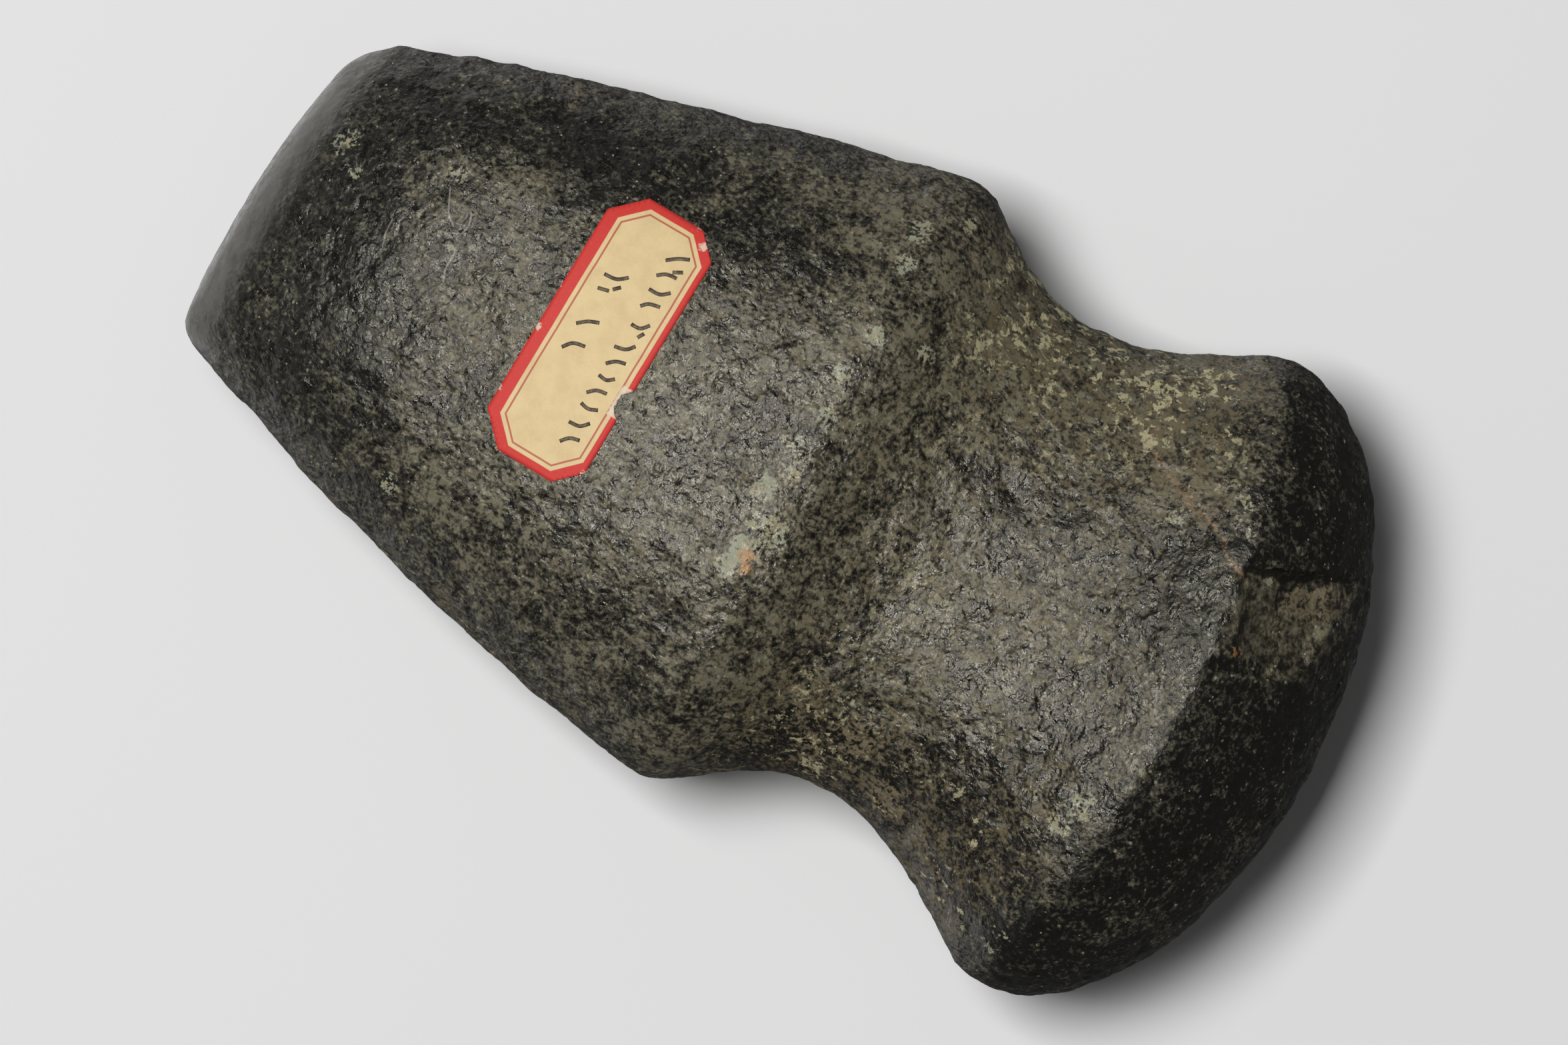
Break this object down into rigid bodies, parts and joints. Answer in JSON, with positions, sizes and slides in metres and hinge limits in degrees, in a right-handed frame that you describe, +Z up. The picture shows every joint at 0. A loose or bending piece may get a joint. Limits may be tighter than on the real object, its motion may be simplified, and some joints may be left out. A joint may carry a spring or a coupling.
{
  "type": "grooved stone axe head",
  "caption": "Full-grooved stone axe head: tapering blade with a blunt ground bit, a hafting groove all round, a domed hammer poll with a flake scar, and an old paper label on the blade.",
  "frame": {"origin": "Middle of the underside of the bounding box, on the plane the stone lies on.", "axes": "+X runs from the bit to the poll, +Y points to the narrow edge with the shallower side groove, and +Z is up, out of the broad face that carries the label."},
  "size_m": [0.1598, 0.0926, 0.0538],
  "materials": {
    "greenstone": "satin",
    "label_paper": "matte"
  },
  "bodies": {
    "root": {"axe_head": "greenstone", "paper_label": "label_paper"}
  },
  "joints": []
}
